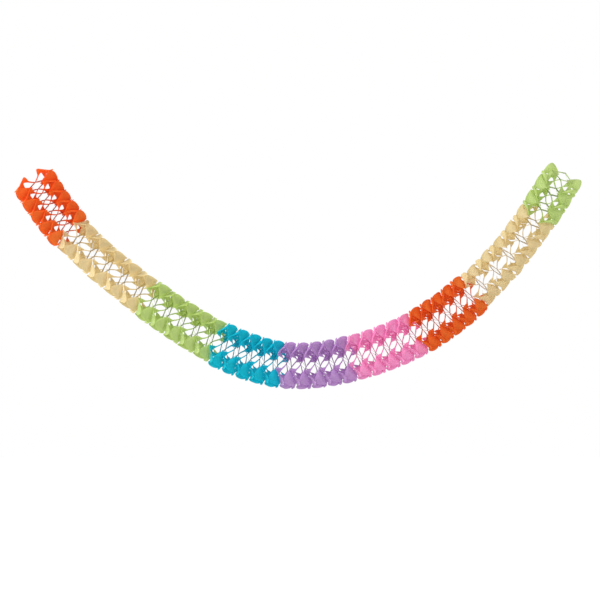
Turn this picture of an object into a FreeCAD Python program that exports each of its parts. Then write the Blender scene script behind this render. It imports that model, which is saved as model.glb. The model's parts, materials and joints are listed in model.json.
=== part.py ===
import FreeCAD, Part

import math
import os

# A hanging garland of die-cut tissue sheets. Every sheet is a four-lobed ring: four round lobes
# joined by four narrow strips. The sheets are spot-glued in a stack. Two sheets of one pair are
# glued to each other at the middle of their strips and at the tips of their lobes, and each pair
# is glued to the next one at the necks, where a lobe meets its two strips. Pulled open, the stack
# turns into a tube of closed pockets with an open lattice between them.
#
# Frame: the garland hangs in the XZ plane, +X runs from its left end to its right end, +Y points
# away from the viewer and +Z is up. The origin is the middle of the left hang hole.

doc = FreeCAD.newDocument("PaperGarland")

# ---------------------------------------------------------------- driving sizes (millimetres)
SIZES = [
    ("paper_gauge", 0.5),         # thickness of one sheet
    ("arm_reach", 50.0),          # from the glue dot on a strip to the glue dot on a neck
    ("lobe_reach", 47.0),         # from the glue dot on a neck to the glue dot at the lobe's tip
    ("lobe_edge", 8.0),           # paper outside the tip's glue dot
    ("lobe_breadth", 70.0),       # widest part of a lobe
    ("lobe_shoulder", 35.0),      # from the neck's glue dot out to the widest part
    ("neck_breadth", 44.0),       # width of a lobe where its strips leave it
    ("neck_setback", 11.0),       # how far inside the glue dot the strips leave the lobe
    ("neck_rim", 12.0),           # paper between the glue dot and the centre hole
    ("strip_breadth", 11.0),      # width of a strip at its middle
    ("waist_share", 0.79),        # radius of the strips' glue dots over that of the necks'
    ("root_share", 0.58),         # how far along the pocket the strips leave the lobes
    ("hang_span", 1959.7),        # level distance between the two ends of the tube's middle line
    ("hang_drop", 687.0),         # how far the line's lowest point hangs below its left end
    ("end_turn", 59.7),           # how far the line's right end turns towards the viewer
    ("orange_pitch", 49.0),       # length of one opened pair, for each run of colour, before
    ("cream_pitch", 73.0),        # all of them stretch together to the hanging line
    ("green_pitch", 63.0),
    ("turquoise_pitch", 51.0),
    ("lilac_pitch", 52.5),
    ("pink_pitch", 53.0),
    ("second_orange_pitch", 52.0),
    ("second_cream_pitch", 74.0),
    ("last_green_pitch", 68.0),
    ("end_roll", -6.0),           # turn of the tube about its own axis at its ends, in degrees
    ("middle_roll", -16.0),       # and halfway along
    ("sheet_lean", 6.0),          # turn of the sheets that shows their right faces, in degrees
    ("hang_hole_width", 5.0),     # punched hole in the first and the last sheet
    ("hang_hole_share", 0.55),    # its place between the rim and the tip of a lobe
    ("hang_hole_aside", 0.3),     # its place between the lobe's fold and its widest part
]

# Each run: its name, the alias of its pitch and how many sheets it has.
RUNS = [
    ("orange", "orange_pitch", 10),
    ("cream", "cream_pitch", 10),
    ("green", "green_pitch", 10),
    ("turquoise", "turquoise_pitch", 10),
    ("lilac", "lilac_pitch", 10),
    ("pink", "pink_pitch", 10),
    ("orange", "second_orange_pitch", 10),
    ("cream", "second_cream_pitch", 10),
    ("green", "last_green_pitch", 5),
]

# Points of the line that the tube hangs along, chosen by hand, as shares of the span, of the turn
# and of the drop.
HANG_LINE = [
    (0.0, 0.0, 0.0),
    (0.074, 0.0, -0.29),
    (0.213, 0.0, -0.633),
    (0.348, 0.0, -0.88),
    (0.471, 0.0, -1.0),
    (0.604, 0.0, -0.965),
    (0.729, 0.0, -0.826),
    (0.835, 0.0, -0.603),
    (0.955, -0.25, -0.196),
    (1.0, -1.0, 0.016),
]

sheet = doc.addObject("Spreadsheet::Sheet", "Sizes")
for row, (name, value) in enumerate(SIZES, start=1):
    sheet.set(f"A{row}", name)
    sheet.set(f"B{row}", str(value))
    sheet.setAlias(f"B{row}", name)
doc.recompute()


def size(name):
    """The value of one named size."""
    return float(getattr(sheet, name))


# ---------------------------------------------------------------- the tube's line and its planes
def hanging_line():
    """The spline that the tube's middle follows."""
    span, turn, drop = size("hang_span"), size("end_turn"), size("hang_drop")
    curve = Part.BSplineCurve()
    curve.interpolate([FreeCAD.Vector(x * span, y * turn, z * drop) for x, y, z in HANG_LINE])
    return curve


class Plane:
    """A cross-section of the tube at one distance along its line."""

    def __init__(self, line, distance):
        place = line.parameterAtDistance(distance, line.FirstParameter)
        away = FreeCAD.Vector(0, 1, 0)
        self.middle = line.value(place)
        self.along = line.tangent(place)[0].normalize()
        side = (away - self.along * away.dot(self.along)).normalize()
        off_middle = 2 * distance / line.length() - 1
        roll = size("middle_roll") + (size("end_roll") - size("middle_roll")) * off_middle**2
        turn = FreeCAD.Rotation(self.along, roll)
        self.up = turn.multVec(self.along.cross(side))
        lean = FreeCAD.Rotation(self.up, -size("sheet_lean"))
        self.side = lean.multVec(turn.multVec(side))

    def point(self, across, up):
        """A point of this plane, given in the tube's own directions."""
        return self.middle + self.side * across + self.up * up


# ---------------------------------------------------------------- one die-cut sheet, pulled open
def in_lobe(quarter, radial, sideways):
    """Turns a place in a lobe's own directions into one in the tube's cross-section."""
    angle = math.radians(45 + 90 * quarter)
    across = radial * math.cos(angle) - sideways * math.sin(angle)
    up = radial * math.sin(angle) + sideways * math.cos(angle)
    return across, up


def neck_radius(half):
    """Radius of the necks' glue dots: paper doesn't stretch, so a longer pocket is narrower."""
    waist = size("waist_share")
    spread = math.hypot(math.cos(math.radians(45)) - waist, math.sin(math.radians(45)))
    return math.sqrt(size("arm_reach") ** 2 - half**2) / spread


def lobe_place(half, neck, reach, sideways):
    """Radial place, sideways place and share of the pocket of a point on a lobe."""
    lean = half / size("lobe_reach")
    flat = math.sqrt(1 - lean**2)
    on_slope = min(reach, size("lobe_reach"))
    radial = neck + on_slope * flat + (reach - on_slope)
    return radial, sideways, 1 - on_slope / size("lobe_reach")


def sheet_points(half, neck):
    """Corner points of an opened sheet: (across, up, share of the pocket from waist to neck).

    The outer loop has the middle of a strip and five points of a lobe in each quarter. The inner
    loop has the middle of the strip and the edge of the centre hole under the lobe.
    """
    waist = neck_radius(half) * size("waist_share")
    strip = size("strip_breadth") / 2
    outer, inner = [], []
    for quarter in range(4):
        angle = math.radians(90 * quarter)
        for loop, radius in ((outer, waist + strip), (inner, waist - strip)):
            loop.append((radius * math.cos(angle), radius * math.sin(angle), 0.0))
        root = (neck - size("neck_setback"), size("neck_breadth") / 2, size("root_share"))
        corner = lobe_place(half, neck, size("lobe_shoulder"), size("lobe_breadth") / 2)
        tip = lobe_place(half, neck, size("lobe_reach") + size("lobe_edge"), 0)
        for radial, sideways, share in (
            (root[0], -root[1], root[2]),
            (corner[0], -corner[1], corner[2]),
            tip,
            corner,
            root,
        ):
            outer.append((*in_lobe(quarter, radial, sideways), share))
        inner.append((*in_lobe(quarter, neck - size("neck_rim"), 0), 1.0))
    return outer, inner


def sheet_facets(outer_count, inner_count):
    """Facets of one face of the sheet, as numbers of outer points, then of inner points."""
    outer_step, inner_step = outer_count // 4, inner_count // 4
    facets = []
    for quarter in range(4):
        strip = outer_step * quarter
        next_strip = (strip + outer_step) % outer_count
        root, corner, tip, far_corner, far_root = range(strip + 1, strip + outer_step)
        strip_edge = outer_count + inner_step * quarter
        rim = strip_edge + 1
        next_edge = outer_count + inner_step * (quarter + 1) % inner_count
        facets += [
            (strip, root, rim),
            (strip, rim, strip_edge),
            (root, corner, rim),
            (corner, tip, rim),
            (tip, far_corner, rim),
            (far_corner, far_root, rim),
            (far_root, next_strip, rim),
            (next_strip, next_edge, rim),
        ]
    return facets


def triangle(first, second, third):
    """A flat face between three points."""
    return Part.Face(Part.makePolygon([first, second, third, first]))


class Sheet:
    """One sheet, pulled open between the plane of its waists and that of its necks."""

    def __init__(self, waist_plane, neck_plane, half, neck):
        self.waist_plane = waist_plane
        self.neck_plane = neck_plane
        self.gauge = size("paper_gauge") / half
        self.outer, self.inner = sheet_points(half, neck)

    def placed(self, place, depth):
        """A point of the sheet, from its near face at depth 0 to its far face at depth 1."""
        across, up, share = place
        start = self.waist_plane.point(across, up)
        share = share * (1 - self.gauge) + depth * self.gauge
        return start + (self.neck_plane.point(across, up) - start) * share

    def solid(self):
        """The sheet as a thin closed solid."""
        places = self.outer + self.inner
        near = [self.placed(place, 0) for place in places]
        far = [self.placed(place, 1) for place in places]
        faces = []
        for facet in sheet_facets(len(self.outer), len(self.inner)):
            faces.append(triangle(*(near[index] for index in facet)))
            faces.append(triangle(*(far[index] for index in facet)))
        for loop in (range(len(self.outer)), range(len(self.outer), len(places))):
            numbers = list(loop)
            for here, there in zip(numbers, numbers[1:] + numbers[:1]):
                faces.append(triangle(near[here], near[there], far[there]))
                faces.append(triangle(near[here], far[there], far[here]))
        solid = Part.makeSolid(Part.makeShell(faces))
        if solid.Volume < 0:
            solid.reverse()
        return solid

    def hang_hole(self):
        """Middle and direction of the hang hole in the upper lobe on the viewer's side."""
        upper = self.outer[len(self.outer) // 4:]
        tip, corner = upper[3], upper[4]
        rim = self.inner[len(self.inner) // 4 + 1]
        high, wide, low = (self.placed(place, 0.5) for place in (tip, corner, rim))
        on_fold = low + (high - low) * size("hang_hole_share")
        middle = on_fold + (wide - on_fold) * size("hang_hole_aside")
        return middle, (high - low).cross(wide - low).normalize()


# ---------------------------------------------------------------- the whole garland
class Pair:
    """Two sheets glued at their strips and lobe tips, or the one sheet left over at the end."""

    def __init__(self, number, colour):
        self.name = f"pair_{number:02d}_{colour}"
        self.sheets = []

    def add(self, waist_plane, neck_plane, half, neck):
        """Adds the sheet between the two planes, with the radius of its necks."""
        self.sheets.append(Sheet(waist_plane, neck_plane, half, neck))

    def shape(self):
        """The pair's separate solids, as one compound."""
        return Part.makeCompound([sheet.solid() for sheet in self.sheets])


def neck_radii(halves):
    """Radius of the necks at each joint: glued necks of unlike pairs meet half way."""
    own = [neck_radius(half) for half in halves]
    between = [(left + right) / 2 for left, right in zip(own, own[1:])]
    return [own[0], *between, own[-1]]


def build_pairs():
    """Every pair along the line, from the left end to the right one."""
    line = hanging_line()
    stretch = line.length() / sum(size(pitch) * sheets / 2 for _, pitch, sheets in RUNS)
    halves, colours, counts = [], [], []
    for colour, pitch, sheets in RUNS:
        for first in range(0, sheets, 2):
            halves.append(size(pitch) * stretch / 2)
            colours.append(colour)
            counts.append(min(2, sheets - first))
    necks = neck_radii(halves)

    pairs = []
    distance = 0.0
    for number, (half, colour, count) in enumerate(zip(halves, colours, counts)):
        pair = Pair(number + 1, colour)
        waist = Plane(line, distance + half)
        pair.add(waist, Plane(line, distance), half, necks[number])
        if count == 2:
            pair.add(waist, Plane(line, distance + 2 * half), half, necks[number + 1])
        distance += count * half
        pairs.append(pair)
    print(f"line {line.length():.1f} mm long, pitches stretched by {stretch:.4f}")
    return pairs


def add_punch(name, middle, direction):
    """A cylinder that punches the hang hole, as long as the hole is wide."""
    punch = doc.addObject("Part::Cylinder", name)
    punch.Label = name
    punch.setExpression("Radius", "Sizes.hang_hole_width / 2")
    punch.setExpression("Height", "Sizes.hang_hole_width")
    turn = FreeCAD.Rotation(FreeCAD.Vector(0, 0, 1), direction)
    start = middle - direction * size("hang_hole_width") / 2
    punch.Placement = FreeCAD.Placement(start, turn)
    return punch


pairs = build_pairs()
end_holes = {
    pairs[0].name: pairs[0].sheets[0].hang_hole(),
    pairs[-1].name: pairs[-1].sheets[-1].hang_hole(),
}
origin = end_holes[pairs[0].name][0]

nodes = []
for pair in pairs:
    whole = doc.addObject("Part::Feature", pair.name)
    whole.Shape = pair.shape()
    whole.Placement = FreeCAD.Placement(-origin, FreeCAD.Rotation())
    if pair.name not in end_holes:
        whole.Label = pair.name
        nodes.append(whole)
        continue
    whole.Label = pair.name + "_unpunched"
    middle, direction = end_holes[pair.name]
    punched = doc.addObject("Part::Cut", pair.name + "_punched")
    punched.Label = pair.name
    punched.Base = whole
    punched.Tool = add_punch(pair.name + "_punch", middle - origin, direction)
    nodes.append(punched)
    print("hang hole", pair.name, "at", middle - origin, "along", direction)

doc.recompute()

# ---------------------------------------------------------------- checks and files
for item in doc.Objects:
    bad = {"Invalid", "Error"} & set(item.State)
    if bad:
        raise RuntimeError(f"{item.Label} failed: {bad}")
for node in nodes:
    if node.Shape.isNull() or not node.Shape.isValid():
        raise RuntimeError(f"{node.Label} has no valid shape")

os.makedirs("parts", exist_ok=True)
for node in nodes:
    node.Shape.exportStep(f"parts/{node.Label}.step")

sheets = sum(len(node.Shape.Solids) for node in nodes)
volume = sum(node.Shape.Volume for node in nodes)
box = Part.makeCompound([node.Shape for node in nodes]).BoundBox
print(f"{len(nodes)} nodes, {sheets} sheets, {volume:.0f} cubic mm of solid")
print(f"box {box.XLength:.1f} x {box.YLength:.1f} x {box.ZLength:.1f} mm")
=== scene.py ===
"""The looks of a hanging tissue garland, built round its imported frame.

Every sheet is die-cut flat, pulled open between its spots of glue and hung along the middle line of
the tube, two sheets to a pair, so that the pairs close into pockets with a lattice between them.
"""

from __future__ import annotations

import json
import logging
import math
from dataclasses import dataclass, field
from enum import Enum

import bmesh
import bpy
import numpy as np
from mathutils import Matrix, Vector, kdtree, noise

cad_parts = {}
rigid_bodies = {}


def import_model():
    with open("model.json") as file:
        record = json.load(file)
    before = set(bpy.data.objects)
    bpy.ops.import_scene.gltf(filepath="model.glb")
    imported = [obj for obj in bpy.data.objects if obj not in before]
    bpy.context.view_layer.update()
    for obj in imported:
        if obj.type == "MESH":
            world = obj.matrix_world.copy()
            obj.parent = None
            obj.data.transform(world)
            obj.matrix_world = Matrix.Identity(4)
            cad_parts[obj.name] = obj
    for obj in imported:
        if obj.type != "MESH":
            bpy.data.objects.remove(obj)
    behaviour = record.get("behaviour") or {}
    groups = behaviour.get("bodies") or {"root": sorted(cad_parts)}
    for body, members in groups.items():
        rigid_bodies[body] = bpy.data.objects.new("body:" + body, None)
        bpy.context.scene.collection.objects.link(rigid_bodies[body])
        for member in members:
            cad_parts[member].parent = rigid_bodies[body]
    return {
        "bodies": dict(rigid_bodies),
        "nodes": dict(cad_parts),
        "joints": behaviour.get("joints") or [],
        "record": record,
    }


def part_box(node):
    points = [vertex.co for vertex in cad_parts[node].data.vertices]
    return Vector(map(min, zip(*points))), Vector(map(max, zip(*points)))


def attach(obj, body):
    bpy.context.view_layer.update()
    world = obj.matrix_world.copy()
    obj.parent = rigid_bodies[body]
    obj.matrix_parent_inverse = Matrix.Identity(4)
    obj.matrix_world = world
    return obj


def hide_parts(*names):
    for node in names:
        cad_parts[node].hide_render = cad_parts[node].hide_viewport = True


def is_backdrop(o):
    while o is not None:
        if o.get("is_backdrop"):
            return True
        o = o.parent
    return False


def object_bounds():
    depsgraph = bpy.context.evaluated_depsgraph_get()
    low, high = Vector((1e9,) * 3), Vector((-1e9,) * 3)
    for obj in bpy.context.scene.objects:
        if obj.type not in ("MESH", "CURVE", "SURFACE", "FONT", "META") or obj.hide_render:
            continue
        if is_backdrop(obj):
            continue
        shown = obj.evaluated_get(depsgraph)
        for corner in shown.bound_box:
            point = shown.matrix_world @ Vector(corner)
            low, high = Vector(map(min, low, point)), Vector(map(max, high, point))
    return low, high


LOG = logging.getLogger("garland")
EIGHTH_TURN = math.radians(45)
DIAGONAL = math.sqrt(0.5)
CRUMPLE_SEED = 3
WHITE = (1.0, 1.0, 1.0, 1.0)
FLAT_MAP = "flat"
SEED_LAYER = "seed"


class Colour(Enum):
    """The colours of tissue that the garland runs through."""

    ORANGE = "orange"
    CREAM = "cream"
    GREEN = "green"
    TURQUOISE = "turquoise"
    LILAC = "lilac"
    PINK = "pink"

    @classmethod
    def of_node(cls, node: str) -> Colour:
        """The colour at the end of a node's name.

        Args:
            node: Name of one pair of sheets.

        Returns:
            The colour that the pair is cut from.
        """
        return cls(node.rsplit("_", 1)[1])


# ------------------------------------------------------------------------------------- the tissue
@dataclass(frozen=True)
class PaperGrain:
    """Creases and cloudy fibre of tissue, as one shader node group on the flat sheet's map.

    Attributes:
        crease_scale: Creases across the map's width.
        crease_detail: Finer layers of creases.
        fibre_scale: Clouds of fibre across the map's width.
        fibre_detail: Finer layers of fibre.
        crease_share: Share of the height that comes from creases, the rest being fibre.
    """

    crease_scale: float = 13.0
    crease_detail: float = 3.0
    fibre_scale: float = 45.0
    fibre_detail: float = 4.0
    crease_share: float = 0.8

    def group(self) -> bpy.types.ShaderNodeTree:
        """Builds the group.

        Returns:
            A node group with a Seed input and the outputs Tone and Height, both from 0 to 1.
        """
        tree = bpy.data.node_groups.new("Tissue grain", "ShaderNodeTree")
        for name, way in (("Seed", "INPUT"), ("Tone", "OUTPUT"), ("Height", "OUTPUT")):
            tree.interface.new_socket(name, in_out=way, socket_type="NodeSocketFloat")
        nodes, links = tree.nodes, tree.links
        seed = nodes.new("NodeGroupInput")
        result = nodes.new("NodeGroupOutput")
        flat = nodes.new("ShaderNodeUVMap")
        flat.uv_map = FLAT_MAP

        crease = nodes.new("ShaderNodeTexNoise")
        crease.noise_dimensions = "4D"
        crease.noise_type = "RIDGED_MULTIFRACTAL"
        crease.inputs["Scale"].default_value = self.crease_scale
        crease.inputs["Detail"].default_value = self.crease_detail
        fibre = nodes.new("ShaderNodeTexNoise")
        fibre.noise_dimensions = "4D"
        fibre.inputs["Scale"].default_value = self.fibre_scale
        fibre.inputs["Detail"].default_value = self.fibre_detail
        for texture in (crease, fibre):
            links.new(flat.outputs["UV"], texture.inputs["Vector"])
            links.new(seed.outputs["Seed"], texture.inputs["W"])

        height = nodes.new("ShaderNodeMix")
        height.inputs["Factor"].default_value = self.crease_share
        links.new(fibre.outputs["Fac"], height.inputs["A"])
        links.new(crease.outputs["Fac"], height.inputs["B"])
        links.new(height.outputs["Result"], result.inputs["Height"])
        links.new(fibre.outputs["Fac"], result.inputs["Tone"])
        return tree


@dataclass(frozen=True)
class TissueFinish:
    """One colour of tissue paper.

    Attributes:
        lit: Colour of the paper where light falls on it.
        glow: Colour of light that comes through it.
        through: Share of the light that comes through.
        roughness: Roughness of its face.
        specular: Strength of its soft shine.
        crumple: Depth of the creases' shading, in metres.
        crumple_strength: How strongly the creases shade the face.
        thick_tone: Brightness of the thickest fibre, as a share of the colour.
        thin_tone: Brightness of the thinnest fibre, as a share of the colour.
    """

    lit: tuple[float, float, float]
    glow: tuple[float, float, float]
    through: float = 0.4
    roughness: float = 0.72
    specular: float = 0.25
    crumple: float = 0.0016
    crumple_strength: float = 0.8
    thick_tone: float = 0.84
    thin_tone: float = 1.14

    def material(self, colour: Colour, grain: bpy.types.ShaderNodeTree) -> bpy.types.Material:
        """Builds the material.

        Args:
            colour: Which tissue this is, for the material's name.
            grain: The group with creases and fibre.

        Returns:
            A paper that shows its own colour in front and glows with the light behind it.
        """
        paper = bpy.data.materials.new(f"{colour.value} tissue")
        paper.use_nodes = True
        nodes, links = paper.node_tree.nodes, paper.node_tree.links
        nodes.clear()
        seed = nodes.new("ShaderNodeAttribute")
        seed.attribute_name = SEED_LAYER
        marks = nodes.new("ShaderNodeGroup")
        marks.node_tree = grain
        links.new(seed.outputs["Fac"], marks.inputs["Seed"])

        bump = nodes.new("ShaderNodeBump")
        bump.inputs["Strength"].default_value = self.crumple_strength
        bump.inputs["Distance"].default_value = self.crumple
        links.new(marks.outputs["Height"], bump.inputs["Height"])

        front = nodes.new("ShaderNodeBsdfPrincipled")
        front.inputs["Roughness"].default_value = self.roughness
        front.inputs["Specular IOR Level"].default_value = self.specular
        behind = nodes.new("ShaderNodeBsdfTranslucent")
        for shader, socket, base in ((front, "Base Color", self.lit), (behind, "Color", self.glow)):
            clouded = nodes.new("ShaderNodeMix")
            clouded.data_type = "RGBA"
            sockets = [item for item in clouded.inputs if item.type == "RGBA"]
            for mixed, tone in zip(sockets, (self.thick_tone, self.thin_tone)):
                mixed.default_value = (*(min(1.0, tone * part) for part in base), 1.0)
            links.new(marks.outputs["Tone"], clouded.inputs["Factor"])
            tint = next(item for item in clouded.outputs if item.type == "RGBA")
            links.new(tint, shader.inputs[socket])
            links.new(bump.outputs["Normal"], shader.inputs["Normal"])

        sheet = nodes.new("ShaderNodeMixShader")
        sheet.inputs["Fac"].default_value = self.through
        output = nodes.new("ShaderNodeOutputMaterial")
        links.new(front.outputs["BSDF"], sheet.inputs[1])
        links.new(behind.outputs["BSDF"], sheet.inputs[2])
        links.new(sheet.outputs["Shader"], output.inputs["Surface"])
        return paper


FINISHES = {
    Colour.ORANGE: TissueFinish(lit=(0.82, 0.23, 0.035), glow=(0.80, 0.05, 0.006)),
    Colour.CREAM: TissueFinish(lit=(0.76, 0.66, 0.40), glow=(0.76, 0.57, 0.25)),
    Colour.GREEN: TissueFinish(lit=(0.54, 0.66, 0.28), glow=(0.47, 0.62, 0.13)),
    Colour.TURQUOISE: TissueFinish(lit=(0.01, 0.56, 0.62), glow=(0.005, 0.48, 0.70)),
    Colour.LILAC: TissueFinish(lit=(0.60, 0.41, 0.66), glow=(0.45, 0.21, 0.57)),
    Colour.PINK: TissueFinish(lit=(0.88, 0.46, 0.72), glow=(0.88, 0.19, 0.46)),
}


# ------------------------------------------------------------------------------- one sheet, flat
@dataclass(frozen=True)
class DieCut:
    """The flat outline of a sheet, four round lobes on a narrow square ring, in metres.

    Attributes:
        hole_half: From the sheet's middle to a side of the square hole.
        hole_round: Radius of the hole's corners.
        strip_width: Width of the strips along the hole's sides.
        lobe_offset: From the sheet's middle to the middle of a lobe.
        lobe_radius: Radius of a lobe.
        neck_dot: Radius at which a neck is glued to the next pair.
        tip_dot: Radius at which a lobe's tip is glued to its partner.
        dot_size: Radius of a spot of glue.
        root_round: How far the corner between a strip and a lobe is rounded, as a share of the
            outline's length.
        area_steps: Steps along an eighth of the outline when its area is measured.
    """

    hole_half: float = 0.050
    hole_round: float = 0.010
    strip_width: float = 0.011
    lobe_offset: float = 0.091
    lobe_radius: float = 0.0345
    neck_dot: float = 0.073
    tip_dot: float = 0.1225
    dot_size: float = 0.0045
    root_round: float = 0.08
    area_steps: int = 160

    @property
    def tip_radius(self) -> float:
        """From the sheet's middle to the tip of a lobe."""
        return self.lobe_offset + self.lobe_radius

    @property
    def lobe_middle(self) -> float:
        """How far across, and how far up, the middle of a lobe lies."""
        return self.lobe_offset * DIAGONAL

    @property
    def width(self) -> float:
        """Width and height of the flat sheet."""
        return 2 * (self.lobe_middle + self.lobe_radius)

    @property
    def strip_edge(self) -> float:
        """From the sheet's middle to a strip's outer edge."""
        return self.hole_half + self.strip_width

    @property
    def waist_dot(self) -> float:
        """From the sheet's middle to the glue at the middle of a strip."""
        return self.hole_half + self.strip_width / 2

    @property
    def root_swing(self) -> float:
        """Angle at a lobe's middle, between its tip and the corner where a strip meets it."""
        inward = self.lobe_middle - self.strip_edge
        return math.pi - math.acos(inward / self.lobe_radius) + EIGHTH_TURN

    @property
    def strip_length(self) -> float:
        """Length of a strip's outer edge, from its middle to that corner."""
        inward = self.lobe_middle - self.strip_edge
        return self.lobe_middle - math.sqrt(self.lobe_radius**2 - inward**2)

    @property
    def root_share(self) -> float:
        """Share of the outline's length that runs along the strip."""
        return self.strip_length / (self.strip_length + self.lobe_radius * self.root_swing)

    @property
    def flat_area(self) -> float:
        """Area of the whole sheet, eight times that of the eighth inside the two edges."""
        along = np.linspace(0, 1, self.area_steps + 1)
        outside, inside = self.rounded_edge(along), self.inner_edge(along)
        loop = np.concatenate([outside, inside[::-1]])
        across, up = loop.T
        return 4 * abs(float(across @ np.roll(up, -1) - up @ np.roll(across, -1)))

    def outer_edge(self, along: np.ndarray) -> np.ndarray:
        """Points of the outline, from the middle of a strip to the tip of the lobe beside it.

        Args:
            along: Shares of the outline's length, from 0 to 1.

        Returns:
            One row for each share: across and up.
        """
        strip, side = self.strip_length, self.strip_edge
        reach = along * (strip + self.lobe_radius * self.root_swing)
        on_strip = np.column_stack([np.full(len(reach), side), np.minimum(reach, strip)])
        turn = EIGHTH_TURN - self.root_swing + np.maximum(reach - strip, 0) / self.lobe_radius
        rim = self.lobe_radius * np.column_stack([np.cos(turn), np.sin(turn)])
        return np.where((reach < strip)[:, None], on_strip, self.lobe_middle + rim)

    def rounded_edge(self, along: np.ndarray) -> np.ndarray:
        """The outline with the corner at the lobe's root rounded off.

        Args:
            along: Shares of the outline's length, from 0 to 1.

        Returns:
            One row for each share: across and up.
        """
        share = np.clip((along - self.root_share) / self.root_round / 2 + 0.5, 0, 1)[:, None]
        ends = self.root_share + self.root_round * np.array([-1.0, 0.0, 1.0])
        before, corner, after = self.outer_edge(ends)
        bend = (1 - share) ** 2 * before + 2 * share * (1 - share) * corner + share**2 * after
        bent = (share > 0) & (share < 1)
        return np.where(bent, bend, self.outer_edge(along))

    def inner_edge(self, along: np.ndarray) -> np.ndarray:
        """Points of the centre hole, then of the lobe's fold as far as the lobe's middle.

        Args:
            along: Shares of the outline's length, from 0 to 1.

        Returns:
            One row for each share: across and up.
        """
        straight = self.hole_half - self.hole_round
        bend = self.hole_round * EIGHTH_TURN
        corner = straight * math.sqrt(2) + self.hole_round
        fold = self.lobe_offset - corner
        root = self.root_share
        neck = root + (1 - root) * bend / (bend + fold)
        reach = np.interp(
            along, [0, root, neck, 1], [0, straight, straight + bend, straight + bend + fold]
        )
        turn = np.clip((reach - straight) / self.hole_round, 0, EIGHTH_TURN)
        beyond = np.maximum(reach - straight - bend, 0) * DIAGONAL
        across = straight + self.hole_round * np.cos(turn) + beyond
        up = np.minimum(reach, straight) + self.hole_round * np.sin(turn) + beyond
        return np.column_stack([across, up])

    def place(self, along: np.ndarray, out: np.ndarray) -> np.ndarray:
        """Flat places of an eighth of the sheet, between a strip's middle and a lobe's fold.

        Args:
            along: Shares of the way along the strip and the lobe's edge, from 0 to 1.
            out: Shares of the way from the inner edge to the outer one.

        Returns:
            One row for each pair of shares: across and up.
        """
        inside, outside = self.inner_edge(along), self.rounded_edge(along)
        return inside + (outside - inside) * out[:, None]


# ------------------------------------------------------------------------ one sheet, pulled open
def eased(share: np.ndarray) -> np.ndarray:
    """A soft step from 0 to 1.

    Args:
        share: Where on the step, below 0 before it and above 1 after it.

    Returns:
        The step's height at each place.
    """
    inside = np.clip(share, 0, 1)
    return inside**2 * (3 - 2 * inside)


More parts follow.
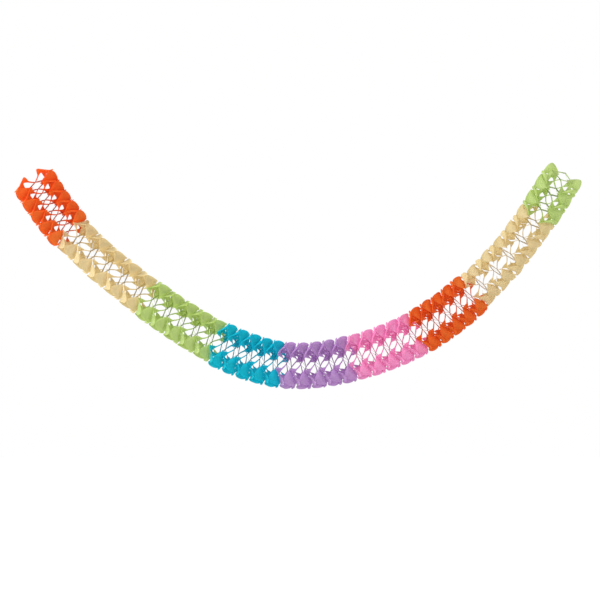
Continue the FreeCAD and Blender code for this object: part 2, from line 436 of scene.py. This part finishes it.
@dataclass
class OpenedSheet:
    """The shape that a sheet takes when its necks are pulled away from its waists and tips.

    An eighth of the sheet is worked out. Places are along the tube, across and up, in metres.

    Attributes:
        cut: The flat sheet.
        along_cells: Cells of the grid along the strip and the lobe's edge.
        out_cells: Cells of the grid across the strip.
        arm: Reach from waist to neck that the paper allows.
        arm_share: How the arm's reach is shared between opening and width.
        waist_share: Radius of the waists over that of the necks.
        flare: How far a lobe's sides spring away from its partner's, as a share of the opening.
        flare_curve: Power at which a lobe's flare grows from its fold to its side.
        side_hold: How much the strips hold back a lobe's sides beside its neck.
        hold_reach: Share of a lobe's length over which they let it go.
        hold_start: Part of that reach which lies before the neck.
        strip_turn: Turn of a strip about its own length, halfway, in degrees.
        fall_steps: Steps along a lobe's fold when its run outwards is summed up.
        full_fall: Share of its length by which a lobe's fold can fall towards the waist.
        least_run: Smallest squared share of its length by which a fold runs outwards.
        root_start: Share of the reach to the neck where a strip begins to turn into a lobe.
        root_width: Share of the reach to the neck over which it does so.
        root_depth: How far past the strip's edge counts as much as the reach to the neck.
    """

    cut: DieCut
    along_cells: int = 40
    out_cells: int = 10
    arm: float = 0.070
    arm_share: float = 1.25
    waist_share: float = 0.79
    flare: float = 0.75
    flare_curve: float = 1.6
    side_hold: float = 0.9
    hold_reach: float = 0.4
    hold_start: float = 0.3
    strip_turn: float = 20.0
    fall_steps: int = 100
    full_fall: float = 0.95
    least_run: float = 0.05
    root_start: float = 0.15
    root_width: float = 0.75
    root_depth: float = 0.020

    def neck_radius(self, opening: float) -> float:
        """How far the necks lie from the tube's middle line.

        Args:
            opening: Distance along the tube between the waists and the necks.

        Returns:
            The necks' radius.
        """
        return math.sqrt((self.arm**2 - opening**2) / self.arm_share)

    def flat_grid(self) -> np.ndarray:
        """Flat places of the grid, as across and up."""
        along = np.linspace(0, 1, self.along_cells + 1)
        out = np.linspace(0, 1, self.out_cells + 1)
        along_grid, out_grid = np.meshgrid(along, out, indexing="ij")
        return self.cut.place(along_grid.ravel(), out_grid.ravel())

    def strip_places(self, opening: float, flat: np.ndarray) -> np.ndarray:
        """Where the flat places go that belong to a strip.

        Args:
            opening: Distance along the tube between the waists and the necks.
            flat: Flat places, as across and up.

        Returns:
            One row for each place.
        """
        across, up = flat.T
        neck = self.cut.neck_dot * DIAGONAL
        opened_neck = self.neck_radius(opening) * DIAGONAL
        opened_waist = self.neck_radius(opening) * self.waist_share
        reach = up / neck
        off_line = across - self.cut.waist_dot - (neck - self.cut.waist_dot) * reach
        turn = math.radians(self.strip_turn) * np.sin(np.pi * np.clip(reach, 0, 1))
        return np.column_stack(
            [
                opening * reach + off_line * np.sin(turn),
                opened_waist + (opened_neck - opened_waist) * reach + off_line * np.cos(turn),
                opened_neck * reach,
            ]
        )

    def lobe_places(self, opening: float, flat: np.ndarray) -> np.ndarray:
        """Where the flat places go that belong to a lobe.

        Args:
            opening: Distance along the tube between the waists and the necks.
            flat: Flat places, as across and up.

        Returns:
            One row for each place.
        """
        length = self.cut.tip_dot - self.cut.neck_dot
        past_neck = flat.sum(axis=1) * DIAGONAL - self.cut.neck_dot
        off_fold = (flat[:, 0] - flat[:, 1]) * DIAGONAL
        softness = min(1.0, max(0.0, 2 * (self.full_fall * length / opening - 1)))
        steps = np.linspace(0, 1, self.fall_steps + 1)
        fall = (1 - softness) * steps + softness * eased(steps)
        slope = np.gradient(opening * fall, length * steps)
        run = np.sqrt(np.clip(1 - slope**2, self.least_run, 1)) * length / self.fall_steps
        gained = np.concatenate([[0.0], np.cumsum((run[1:] + run[:-1]) / 2)])
        share = past_neck / length
        fallen = np.interp(share, steps, fall)
        radius = self.neck_radius(opening) + np.interp(share, steps, gained)
        radius += np.minimum(past_neck, 0) + np.maximum(past_neck - length, 0)

        released = eased(share / self.hold_reach + self.hold_start)
        held = self.side_hold * off_fold * (1 - released)
        pulled = (held - np.minimum(past_neck, 0)) / self.cut.neck_dot
        side = np.clip(off_fold / self.cut.lobe_radius, 0, 1) ** self.flare_curve
        along = opening * (1 - fallen * (1 - self.flare * side)) - opening * pulled
        return np.column_stack(
            [
                np.clip(along, 0, opening),
                (radius + off_fold) * DIAGONAL,
                (radius - off_fold) * DIAGONAL,
            ]
        )

    def opened(self, opening: float) -> np.ndarray:
        """The opened shape of an eighth of the sheet.

        Args:
            opening: Distance along the tube between the waists and the necks.

        Returns:
            One row for each place of the grid.
        """
        flat = self.flat_grid()
        reach = flat[:, 1] / (self.cut.neck_dot * DIAGONAL)
        outwards = np.maximum(flat[:, 0] - self.cut.strip_edge, 0) / self.root_depth
        lobe = eased((reach + outwards - self.root_start) / self.root_width)
        strip = self.strip_places(opening, flat)
        return strip + (self.lobe_places(opening, flat) - strip) * lobe[:, None]


@dataclass
class SheetMesh:
    """The whole flat sheet as a mesh, and how its points follow those of an eighth of it.

    Attributes:
        form: The sheet's outline, its grid and the way it opens.
        same_point: Distance below which two points of the mirrored grid become one, in metres.
        free_reach: How far from a spot of glue the paper is quite free to stray, in metres.
        mesh: The flat sheet.
        flat: Flat places of its points, as across and up.
        source: Numbers of the eighth's points that they follow.
        loose: How free each of them is to stray.
    """

    form: OpenedSheet
    same_point: float = 1e-5
    free_reach: float = 0.030
    mesh: bpy.types.Mesh = field(init=False)
    flat: np.ndarray = field(init=False)
    source: np.ndarray = field(init=False)
    loose: np.ndarray = field(init=False)

    def __post_init__(self) -> None:
        """Cuts the flat sheet."""
        self.mesh = self.cut_mesh()
        flat = np.empty(len(self.mesh.vertices) * 3)
        self.mesh.vertices.foreach_get("co", flat)
        self.flat = flat.reshape(-1, 3)[:, 1:]
        self.source = self.match()
        self.loose = self.looseness()

    def cut_mesh(self) -> bpy.types.Mesh:
        """Makes an eighth of the sheet from a grid and mirrors it three times.

        Returns:
            The flat sheet, with its places as across and up.
        """
        shape = bmesh.new()
        bmesh.ops.create_grid(
            shape, x_segments=self.form.along_cells, y_segments=self.form.out_cells, size=0.5
        )
        shares = np.array([vertex.co[:2] for vertex in shape.verts]) + 0.5
        for vertex, (across, up) in zip(shape.verts, self.form.cut.place(*shares.T)):
            vertex.co = (0.0, across, up)
        for turn, axis in ((EIGHTH_TURN, "Z"), (0.0, "Z"), (0.0, "Y")):
            bmesh.ops.mirror(
                shape,
                geom=shape.verts[:] + shape.edges[:] + shape.faces[:],
                matrix=Matrix.Rotation(turn, 4, "X"),
                axis=axis,
            )
        bmesh.ops.remove_doubles(shape, verts=shape.verts, dist=self.same_point)
        bmesh.ops.recalc_face_normals(shape, faces=shape.faces)
        mesh = bpy.data.meshes.new("flat sheet")
        shape.to_mesh(mesh)
        shape.free()
        return mesh

    @property
    def folded(self) -> np.ndarray:
        """Flat places of the points, folded into the eighth that is worked out."""
        return np.sort(abs(self.flat), axis=1)[:, ::-1]

    def looseness(self) -> np.ndarray:
        """How free each point is to stray, from 0 at the spots of glue to 1 well away from them."""
        cut = self.form.cut
        neck, tip = cut.neck_dot * DIAGONAL, cut.tip_dot * DIAGONAL
        spots = ((cut.waist_dot, 0.0), (neck, neck), (tip, tip))
        gaps = [np.hypot(*(self.folded - spot).T) for spot in spots]
        return eased((np.min(gaps, axis=0) - cut.dot_size) / self.free_reach)

    def match(self) -> np.ndarray:
        """Numbers of the eighth's points that the whole sheet's points follow."""
        eighth = self.form.flat_grid()
        tree = kdtree.KDTree(len(eighth))
        for number, (across, up) in enumerate(eighth):
            tree.insert((across, up, 0.0), number)
        tree.balance()
        return np.array([tree.find((across, up, 0.0))[1] for across, up in self.folded])

    def opened(self, opening: float) -> np.ndarray:
        """The whole sheet, pulled open.

        Args:
            opening: Distance along the tube between the waists and the necks.

        Returns:
            One row for each point: along the tube, across and up.
        """
        eighth = self.form.opened(opening)[self.source]
        upright = abs(self.flat[:, 1]) > abs(self.flat[:, 0])
        across = np.where(upright, eighth[:, 2], eighth[:, 1]) * np.sign(self.flat[:, 0])
        up = np.where(upright, eighth[:, 1], eighth[:, 2]) * np.sign(self.flat[:, 1])
        return np.column_stack([eighth[:, 0], across, up])


# ------------------------------------------------------------------------------- the hanging tube
@dataclass
class TubeLine:
    """The tube's middle line, read from where the frame's pairs lie.

    Attributes:
        nodes: Names of the pairs, from the left end to the right one.
        end_roll: Turn of the tube about its own axis at its ends, in degrees.
        middle_roll: The same turn halfway along.
        lean: Turn of the sheets that brings their right faces into view, in degrees.
        places: Middles of the pairs.
        marks: Their distances along the line.
        waists: Distances along the line at which the pairs' waists lie.
        halves: How far each pair is pulled open, from its waist to its necks.
    """

    nodes: list[str]
    end_roll: float = -6.0
    middle_roll: float = -9.0
    lean: float = 12.0
    places: np.ndarray = field(init=False)
    marks: np.ndarray = field(init=False)
    waists: np.ndarray = field(init=False)
    halves: np.ndarray = field(init=False)

    def __post_init__(self) -> None:
        """Reads each pair's middle and works out how far it is pulled open."""
        boxes = [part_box(node) for node in self.nodes]
        self.places = np.array([(np.array(low) + np.array(high)) / 2 for low, high in boxes])
        # The last pair is a single sheet, so its waist lies one more step along the line.
        self.places[-1] = 2 * self.places[-2] - self.places[-3]
        gaps = np.linalg.norm(np.diff(self.places, axis=0), axis=1)
        self.marks = np.concatenate([[0.0], np.cumsum(gaps)])
        colours = [Colour.of_node(node) for node in self.nodes]
        halves = np.empty(len(self.nodes))
        start = 0
        for end in range(1, len(colours) + 1):
            if end == len(colours) or colours[end] != colours[start]:
                halves[start:end] = gaps[start : end - 1].mean() / 2
                start = end
        waists = np.concatenate([[0.0], np.cumsum(halves[1:] + halves[:-1])])
        fit = self.marks[-1] / waists[-1]
        self.halves, self.waists = halves * fit, waists * fit

    def at(self, distance: float) -> tuple[np.ndarray, np.ndarray]:
        """A point of the line and its direction.

        Args:
            distance: Distance from the first pair's waist.

        Returns:
            The point and a unit vector along the line.
        """
        index = int(np.clip(np.searchsorted(self.marks, distance) - 1, 0, len(self.marks) - 2))
        slopes = np.gradient(self.places, self.marks, axis=0)
        span = self.marks[index + 1] - self.marks[index]
        share = (distance - self.marks[index]) / span
        start, end = self.places[index], self.places[index + 1]
        first, last = slopes[index] * span, slopes[index + 1] * span
        if not 0 <= share <= 1:
            near = 0 if share < 0 else 1
            slope = (first, last)[near]
            return (start, end)[near] + slope * (share - near), slope / np.linalg.norm(slope)
        square, cube = share**2, share**3
        point = (
            (2 * cube - 3 * square + 1) * start
            + (cube - 2 * square + share) * first
            + (3 * square - 2 * cube) * end
            + (cube - square) * last
        )
        slope = (
            6 * (square - share) * (start - end)
            + (3 * square - 4 * share + 1) * first
            + (3 * square - 2 * share) * last
        )
        return point, slope / np.linalg.norm(slope)

    def plane(self, distance: float) -> tuple[np.ndarray, np.ndarray]:
        """A cross-section of the tube.

        Args:
            distance: Distance from the first pair's waist.

        Returns:
            Its middle, and its directions across and up as two rows.
        """
        middle, along = self.at(distance)
        along = Vector(along)
        side = Vector((0, 1, 0))
        side = (side - along * side.dot(along)).normalized()
        off_middle = 2 * distance / self.waists[-1] - 1
        roll = self.middle_roll + (self.end_roll - self.middle_roll) * off_middle**2
        turn = Matrix.Rotation(math.radians(roll), 3, along)
        across, up = turn @ side, turn @ along.cross(side)
        across = Matrix.Rotation(math.radians(self.lean), 3, -up) @ across
        return middle, np.array([across, up])


# --------------------------------------------------------------------------- the pairs of sheets
@dataclass(frozen=True)
class HangHole:
    """A punched hole that the garland hangs from.

    Attributes:
        place: Where it is, in metres.
        radius: Its radius, in metres.
    """

    place: tuple[float, float, float]
    radius: float = 0.0025

    def punch(self, shape: bmesh.types.BMesh, sheet: list[bmesh.types.BMVert]) -> None:
        """Opens a sheet at the point nearest the hole's place.

        Args:
            shape: The pair of sheets.
            sheet: Points of the sheet that has the hole.
        """
        place = Vector(self.place)
        inner = (vertex for vertex in sheet if not vertex.is_boundary)
        middle = min(inner, key=lambda vertex: (vertex.co - place).length)
        centre = middle.co.copy()
        rim = {corner for face in middle.link_faces for corner in face.verts} - {middle}
        for corner in rim:
            corner.co = centre + self.radius * (corner.co - centre).normalized()
        bmesh.ops.delete(shape, geom=[middle], context="VERTS")
        LOG.info("hang hole %.1f mm from its place", 1000 * (centre - place).length)


HANG_HOLES = {
    "pair_01_orange": HangHole((0.0, 0.0, 0.0)),
    "pair_43_green": HangHole((1.844, -0.041, -0.021)),
}


@dataclass(frozen=True)
class Crumple:
    """How loose paper strays from its even shape.

    Attributes:
        sag: Depth of the wide sags, in metres.
        sag_scale: Sags to a metre of sheet.
        crease: Depth of the small creases, in metres.
        crease_scale: Creases to a metre of sheet.
        pair_step: Step from one pair to the next in the noise.
        side_step: Step between the two sheets of a pair, for the creases alone.
    """

    sag: float = 0.0040
    sag_scale: float = 16.0
    crease: float = 0.0016
    crease_scale: float = 55.0
    pair_step: float = 5.3
    side_step: float = 1.7

    def strays(self, flat: np.ndarray, number: int, side: int) -> np.ndarray:
        """How far each point of a sheet strays.

        Args:
            flat: Flat places of the sheet's points, as across and up.
            number: Which pair this is, counted from the left end.
            side: -1 for the sheet towards the left end, 1 for the other.

        Returns:
            One row for each point.
        """
        pair = self.pair_step * number
        layer = self.pair_step * number + self.side_step * side
        wide, fine = self.sag_scale, self.crease_scale
        moves = [
            self.sag * noise.noise_vector((wide * across, wide * up, pair))
            + self.crease * noise.noise_vector((fine * across, fine * up, layer))
            for across, up in flat
        ]
        return np.array(moves)


@dataclass
class TissuePair:
    """Two sheets glued at their waists and tips, in place of one node of the frame.

    Attributes:
        number: Which pair this is, counted from the left end.
        line: The tube.
        sheet: The flat sheet.
        crumple: How its loose paper strays.
        louvre: How far a lobe turns about its fold, as a slope.
        louvre_start: Radius on the flat sheet at which that turn begins, in metres.
        louvre_width: Width of paper over which it grows to its full slope, in metres.
        node: Name of the node.
        colour: Colour of its tissue.
        sides: -1 for the sheet towards the left end, and 1 for the other where there is one.
    """

    number: int
    line: TubeLine
    sheet: SheetMesh
    crumple: Crumple = Crumple()
    louvre: float = 0.2
    louvre_start: float = 0.066
    louvre_width: float = 0.030
    node: str = field(init=False)
    colour: Colour = field(init=False)
    sides: tuple[int, ...] = field(init=False)

    def __post_init__(self) -> None:
        """Finds the pair's node, and how many sheets it has."""
        self.node = self.line.nodes[self.number]
        self.colour = Colour.of_node(self.node)
        self.sides = (-1,) if self.number == len(self.line.nodes) - 1 else (-1, 1)

    def neck_scale(self, side: int) -> float:
        """How much narrower or wider the necks are than they would be by themselves.

        Args:
            side: -1 for the sheet towards the left end, 1 for the other.

        Returns:
            The mean of this pair's and its neighbour's neck radius, over this pair's.
        """
        other = self.number + side
        if not 0 <= other < len(self.line.nodes):
            return 1.0
        own, others = (
            self.sheet.form.neck_radius(self.line.halves[index]) for index in (self.number, other)
        )
        return (own + others) / 2 / own

    def sheet_points(self, side: int) -> np.ndarray:
        """Places of one sheet of the pair.

        Args:
            side: -1 for the sheet towards the left end, 1 for the other.

        Returns:
            One row for each point.
        """
        half = self.line.halves[self.number]
        waist_at = self.line.waists[self.number]
        shape = self.sheet.opened(half)
        share = (shape[:, 0] / half)[:, None]
        spread = shape[:, 1:] * (1 + (self.neck_scale(side) - 1) * share)
        waist, waist_ways = self.line.plane(waist_at)
        neck, neck_ways = self.line.plane(waist_at + side * half)
        points = (waist + spread @ waist_ways) * (1 - share) + (neck + spread @ neck_ways) * share
        along = (neck - waist) * (side / half)
        flat = self.sheet.flat
        off_fold = (abs(flat[:, 0]) - abs(flat[:, 1])) * DIAGONAL * np.sign(flat[:, 0])
        on_lobe = eased((np.hypot(*flat.T) - self.louvre_start) / self.louvre_width)
        points += (self.louvre * off_fold * on_lobe)[:, None] * along
        strays = self.crumple.strays(flat, self.number, side)
        return points + strays * self.sheet.loose[:, None]

    def build(self, material: bpy.types.Material) -> bpy.types.Object:
        """Builds the pair's mesh and dresses it.

        Args:
            material: The tissue that it is cut from.

        Returns:
            The finished piece.
        """
        shape = bmesh.new()
        for _ in self.sides:
            shape.from_mesh(self.sheet.mesh)
        count = len(self.sheet.flat)
        shape.verts.ensure_lookup_table()
        flat_map = shape.loops.layers.uv.new(FLAT_MAP)
        seed = shape.verts.layers.float.new(SEED_LAYER)
        reach = 2 * self.sheet.form.cut.tip_radius
        for face in shape.faces:
            for loop in face.loops:
                across, up = self.sheet.flat[loop.vert.index % count]
                loop[flat_map].uv = (across / reach + 0.5, up / reach + 0.5)
        for order, side in enumerate(self.sides):
            points = self.sheet_points(side)
            for index, point in enumerate(points):
                vertex = shape.verts[order * count + index]
                vertex.co = point
                vertex[seed] = 2 * self.number + order
        if self.node in HANG_HOLES:
            HANG_HOLES[self.node].punch(shape, shape.verts[:count])
        mesh = bpy.data.meshes.new(f"tissue_{self.node}")
        shape.to_mesh(mesh)
        shape.free()
        mesh.shade_smooth()
        mesh.materials.append(material)
        piece = bpy.data.objects.new(mesh.name, mesh)
        bpy.context.scene.collection.objects.link(piece)
        return piece

    def declare(self, piece: bpy.types.Object) -> None:
        """Attaches the piece to the root body and hides the frame's node in its place; the area of
        its paper is worked out but not kept.

        Args:
            piece: The finished piece.
        """
        cut = self.sheet.form.cut
        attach(piece, "root")
        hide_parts(self.node)
        sheets = len(self.sides)
        cut.flat_area * sheets


# --------------------------------------------------------------------------------------- the room
@dataclass(frozen=True)
class Lamp:
    """A square soft lamp.

    Attributes:
        name: What it is for.
        place: Where it hangs, from the garland's middle, in metres.
        width: Its width, in metres.
        power: Its power, in watts.
    """

    name: str
    place: tuple[float, float, float]
    width: float
    power: float

    def hang(self, middle: Vector) -> None:
        """Hangs the lamp, turned to the garland.

        Args:
            middle: The garland's middle.
        """
        lamp = bpy.data.lights.new(self.name, "AREA")
        lamp.size = self.width
        lamp.energy = self.power
        lit = bpy.data.objects.new(self.name, lamp)
        lit.location = middle + Vector(self.place)
        lit.rotation_euler = Vector(self.place).to_track_quat("Z", "Y").to_euler()
        lit.visible_camera = False
        bpy.context.scene.collection.objects.link(lit)


LAMPS = (
    Lamp("key", place=(-6.0, -3.8, 3.4), width=2.4, power=520.0),
    Lamp("fill", place=(1.8, -2.8, 0.4), width=2.5, power=30.0),
    Lamp("back", place=(0.4, 2.8, 2.6), width=1.6, power=45.0),
)


@dataclass
class Studio:
    """A white room with soft light, and the camera.

    Attributes:
        low: Lowest corner of the garland.
        high: Highest corner of the garland.
        width_share: Share of the picture's width that the garland fills.
        left_share: Share of the picture's width to the left of the garland.
        top_share: Share of the picture's height above the garland.
        distance: From the camera to the garland, in metres.
        sensor: Width of the camera's sensor, in millimetres.
        floor_gap: From the garland's lowest point down to the floor, in metres.
        floor_half: From the floor's middle to a side of it, in metres.
        floor_grey: Lightness of the floor.
        floor_roughness: Roughness of the floor.
        floor_lift: How much lighter the camera sees the floor.
        room_light: Strength of the light from all round.
        room_seen: Strength at which the room itself shows.
    """

    low: Vector
    high: Vector
    width_share: float = 0.95
    left_share: float = 0.0217
    top_share: float = 0.2685
    distance: float = 10.0
    sensor: float = 36.0
    floor_gap: float = 0.6
    floor_half: float = 6.0
    floor_grey: float = 0.9
    floor_roughness: float = 0.9
    floor_lift: float = 0.62
    room_light: float = 0.54
    room_seen: float = 1.0

    @property
    def middle(self) -> Vector:
        """Middle of the garland."""
        return (self.low + self.high) / 2

    def build(self) -> None:
        """Builds everything round the garland."""
        bpy.context.scene.view_settings.view_transform = "Standard"
        self.light_world()
        self.lay_floor()
        for lamp in LAMPS:
            lamp.hang(self.middle)
        self.place_camera()

    def light_world(self) -> None:
        """An even, pale light from all round, which shows white to the camera."""
        world = bpy.data.worlds.new("white room")
        world.use_nodes = True
        nodes, links = world.node_tree.nodes, world.node_tree.links
        nodes.clear()
        path = nodes.new("ShaderNodeLightPath")
        seen = nodes.new("ShaderNodeMath")
        seen.operation = "MAXIMUM"
        also = nodes.new("ShaderNodeMath")
        also.operation = "MAXIMUM"
        links.new(path.outputs["Is Camera Ray"], seen.inputs[0])
        links.new(path.outputs["Is Glossy Ray"], seen.inputs[1])
        links.new(seen.outputs["Value"], also.inputs[0])
        links.new(path.outputs["Is Transmission Ray"], also.inputs[1])
        lights = nodes.new("ShaderNodeBackground")
        lights.inputs["Strength"].default_value = self.room_light
        shows = nodes.new("ShaderNodeBackground")
        shows.inputs["Strength"].default_value = self.room_seen
        for background in (lights, shows):
            background.inputs["Color"].default_value = WHITE
        mix = nodes.new("ShaderNodeMixShader")
        output = nodes.new("ShaderNodeOutputWorld")
        links.new(also.outputs["Value"], mix.inputs["Fac"])
        links.new(lights.outputs["Background"], mix.inputs[1])
        links.new(shows.outputs["Background"], mix.inputs[2])
        links.new(mix.outputs["Shader"], output.inputs["Surface"])
        bpy.context.scene.world = world

    def lay_floor(self) -> None:
        """A pale floor far below the garland."""
        shape = bmesh.new()
        bmesh.ops.create_grid(shape, x_segments=1, y_segments=1, size=self.floor_half)
        place = (self.middle.x, self.middle.y, self.low.z - self.floor_gap)
        bmesh.ops.translate(shape, verts=shape.verts, vec=place)
        mesh = bpy.data.meshes.new("floor")
        shape.to_mesh(mesh)
        shape.free()
        floor = bpy.data.objects.new("floor", mesh)
        bpy.context.scene.collection.objects.link(floor)

        pale = bpy.data.materials.new("pale floor")
        pale.use_nodes = True
        nodes, links = pale.node_tree.nodes, pale.node_tree.links
        surface = nodes["Principled BSDF"]
        surface.inputs["Base Color"].default_value = (*[self.floor_grey] * 3, 1.0)
        surface.inputs["Roughness"].default_value = self.floor_roughness
        surface.inputs["Emission Color"].default_value = WHITE
        path = nodes.new("ShaderNodeLightPath")
        lift = nodes.new("ShaderNodeMath")
        lift.operation = "MULTIPLY"
        lift.inputs[1].default_value = self.floor_lift
        links.new(path.outputs["Is Camera Ray"], lift.inputs[0])
        links.new(lift.outputs["Value"], surface.inputs["Emission Strength"])
        mesh.materials.append(pale)
        floor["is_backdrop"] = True

    def place_camera(self) -> None:
        """Stands the camera level in front of the garland."""
        size = self.high - self.low
        frame = size.x / self.width_share
        camera = bpy.data.cameras.new("camera")
        camera.sensor_width = self.sensor
        camera.lens = self.sensor * self.distance / frame
        stand = bpy.data.objects.new("camera", camera)
        across = self.low.x + (0.5 - self.left_share) * frame
        height = self.high.z - (0.5 - self.top_share) * frame
        stand.location = (across, -self.distance, height)
        stand.rotation_euler = (math.radians(90), 0.0, 0.0)
        bpy.context.scene.collection.objects.link(stand)
        bpy.context.scene.camera = stand


def main() -> None:
    """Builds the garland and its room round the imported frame."""
    logging.basicConfig(level=logging.INFO, format="%(name)s: %(message)s")
    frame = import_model()
    cad_box = [list(corner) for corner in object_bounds()]
    noise.seed_set(CRUMPLE_SEED)
    Studio(low=Vector(cad_box[0]), high=Vector(cad_box[1])).build()

    grain = PaperGrain().group()
    papers = {colour: finish.material(colour, grain) for colour, finish in FINISHES.items()}
    sheet = SheetMesh(OpenedSheet(DieCut()))
    line = TubeLine(sorted(frame["nodes"]))
    for number in range(len(line.nodes)):
        pair = TissuePair(number, line, sheet)
        piece = pair.build(papers[pair.colour])
        pair.declare(piece)
        LOG.info("%s: %d faces", piece.name, len(piece.data.polygons))


if __name__ == "__main__":
    main()
